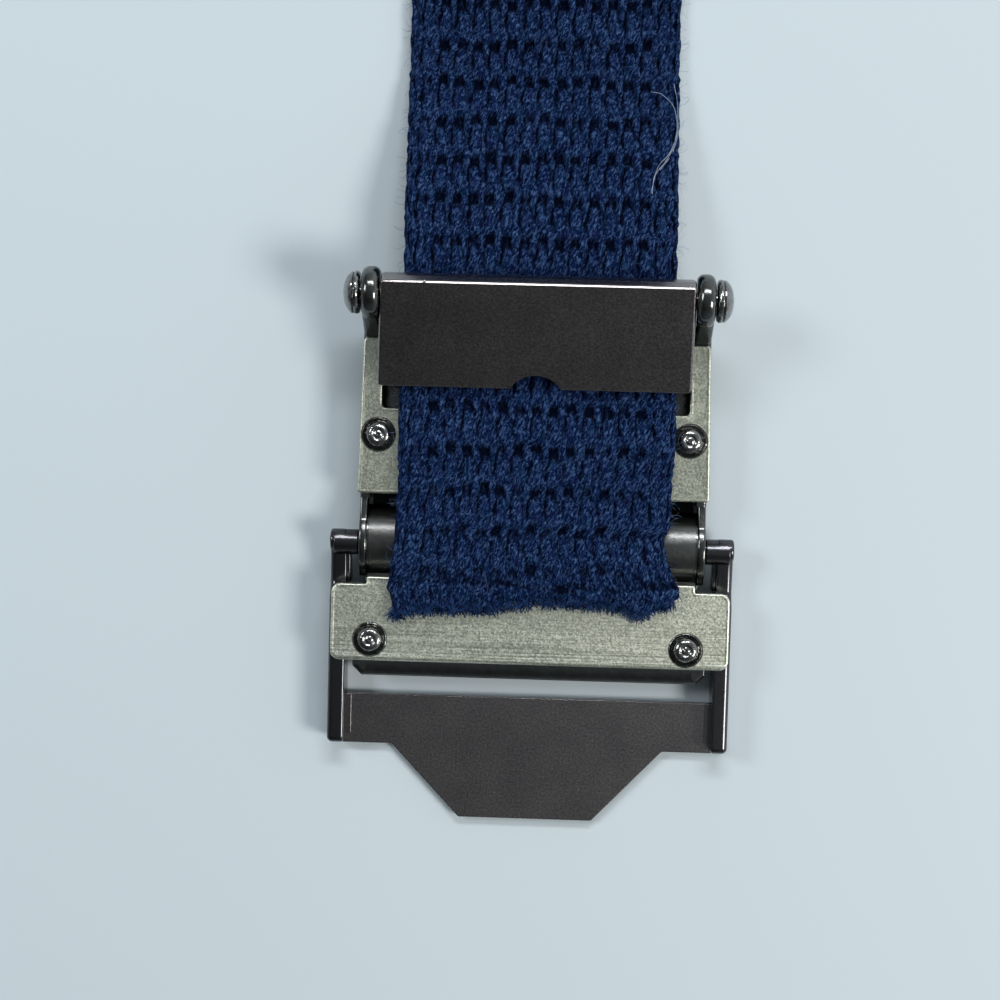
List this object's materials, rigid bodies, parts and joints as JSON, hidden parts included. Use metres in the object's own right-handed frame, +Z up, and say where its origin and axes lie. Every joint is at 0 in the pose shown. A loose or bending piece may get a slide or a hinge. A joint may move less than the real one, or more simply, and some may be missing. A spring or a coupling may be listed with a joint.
{
  "type": "canvas web belt",
  "caption": "Buckle end of a woven canvas belt: cotton webbing clamped in a dark metal flip-lever buckle with pale plates, lying face down.",
  "frame": {"origin": "middle of the outline, at the surface that the buckle's front face and the strap rest on", "axes": "+X across the strap, to the right in the picture; +Y along the strap, away from the lever's tongue; +Z up, out of the buckle's back"},
  "size_m": [0.0566, 0.1262, 0.0161],
  "materials": {
    "webbing": "navy dyed cotton webbing, coarse plain weave",
    "gunmetal": "satin gunmetal plating on zinc and steel",
    "brushed_nickel": "fine brushed satin nickel plating",
    "black_nickel": "bright black nickel plating"
  },
  "bodies": {
    "buckle": {"buckle_body": "gunmetal", "web_strap": "webbing", "clamp_base": "brushed_nickel", "lower_plate": "brushed_nickel", "upper_rivet_left": "black_nickel", "upper_rivet_right": "black_nickel", "lower_rivet_left": "black_nickel", "lower_rivet_right": "black_nickel", "clamp_pin": "black_nickel"},
    "flap": {"clamp_flap": "gunmetal"},
    "lever": {"lever_frame": "gunmetal"}
  },
  "joints": [
    {"name": "flap_hinge", "type": "hinge", "parent": "buckle", "child": "flap", "pos_m": [0, 0.01085, 0.01255], "axis": [-1, 0, 0], "range_deg": [0, 110]},
    {"name": "lever_hinge", "type": "hinge", "parent": "buckle", "child": "lever", "pos_m": [0, -0.02345, 0.0046], "axis": [1, 0, 0], "range_deg": [0, 100]}
  ]
}
